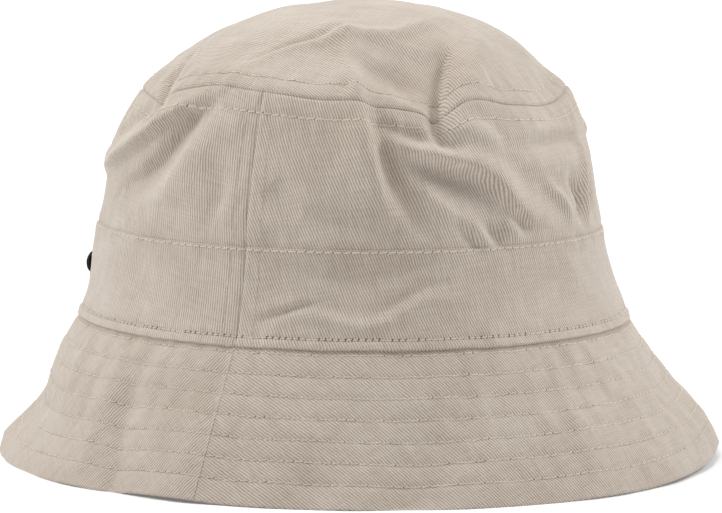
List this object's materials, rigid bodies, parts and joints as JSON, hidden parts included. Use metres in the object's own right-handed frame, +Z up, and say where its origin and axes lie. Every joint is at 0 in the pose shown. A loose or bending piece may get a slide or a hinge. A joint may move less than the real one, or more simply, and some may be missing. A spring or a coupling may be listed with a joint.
{
  "type": "bucket hat",
  "caption": "Soft cloth hat with a rounded crown, an upright side, a folded band and a downward sloping brim quilted with rows of stitching.",
  "frame": {"origin": "middle of the brim's edge, on the surface that the hat rests on brim down", "axes": "+Z up through the crown; -Y towards the wearer's front; +X towards the wearer's left"},
  "size_m": [0.2412, 0.2612, 0.1616],
  "materials": {
    "twill": "matte, diagonal weave",
    "thread": "soft sheen",
    "interlining": "matte",
    "sweatband_cloth": "matte",
    "seam_tape": "matte",
    "front_label_weave": "matte woven",
    "main_label_weave": "matte woven",
    "printed_satin": "satin"
  },
  "bodies": {
    "hat": {"band_seam_thread": "thread", "band_stitch_lower": "thread", "band_stitch_upper": "thread", "brim_edge_thread": "thread", "brim_interlining_back": "interlining", "brim_interlining_front": "interlining", "brim_stitch_row_1": "thread", "brim_stitch_row_2": "thread", "brim_stitch_row_3": "thread", "brim_stitch_row_4": "thread", "brim_stitch_row_5": "thread", "brim_stitch_row_6": "thread", "brim_stitch_row_7": "thread", "brim_under_back": "twill", "brim_under_front": "twill", "brim_upper_back": "twill", "brim_upper_front": "twill", "crown_seam_tape": "seam_tape", "crown_seam_thread": "thread", "crown_stitch_lower": "thread", "crown_stitch_upper": "thread", "crown_tip": "twill", "front_label": "front_label_weave", "front_label_stitches": "thread", "hat_band_back": "twill", "hat_band_front": "twill", "head_seam_thread": "thread", "main_label": "main_label_weave", "main_label_stitches": "thread", "side_crown_back": "twill", "side_crown_front": "twill", "side_seam_stitches_left": "thread", "side_seam_stitches_right": "thread", "side_seam_tape_left": "seam_tape", "side_seam_tape_right": "seam_tape", "sweatband": "sweatband_cloth"},
    "care_label_leaf": {"care_label": "printed_satin"},
    "size_tab_leaf": {"size_tab": "printed_satin"}
  },
  "joints": [
    {"name": "care_label_swing", "type": "hinge", "parent": "hat", "child": "care_label_leaf", "pos_m": [0.07912, 0, 0.0799], "axis": [0, 1, 0], "range_deg": [-4, 140]},
    {"name": "size_tab_swing", "type": "hinge", "parent": "hat", "child": "size_tab_leaf", "pos_m": [0, 0.09103, 0.0609], "axis": [-1, 0, 0], "range_deg": [-4, 140]}
  ]
}
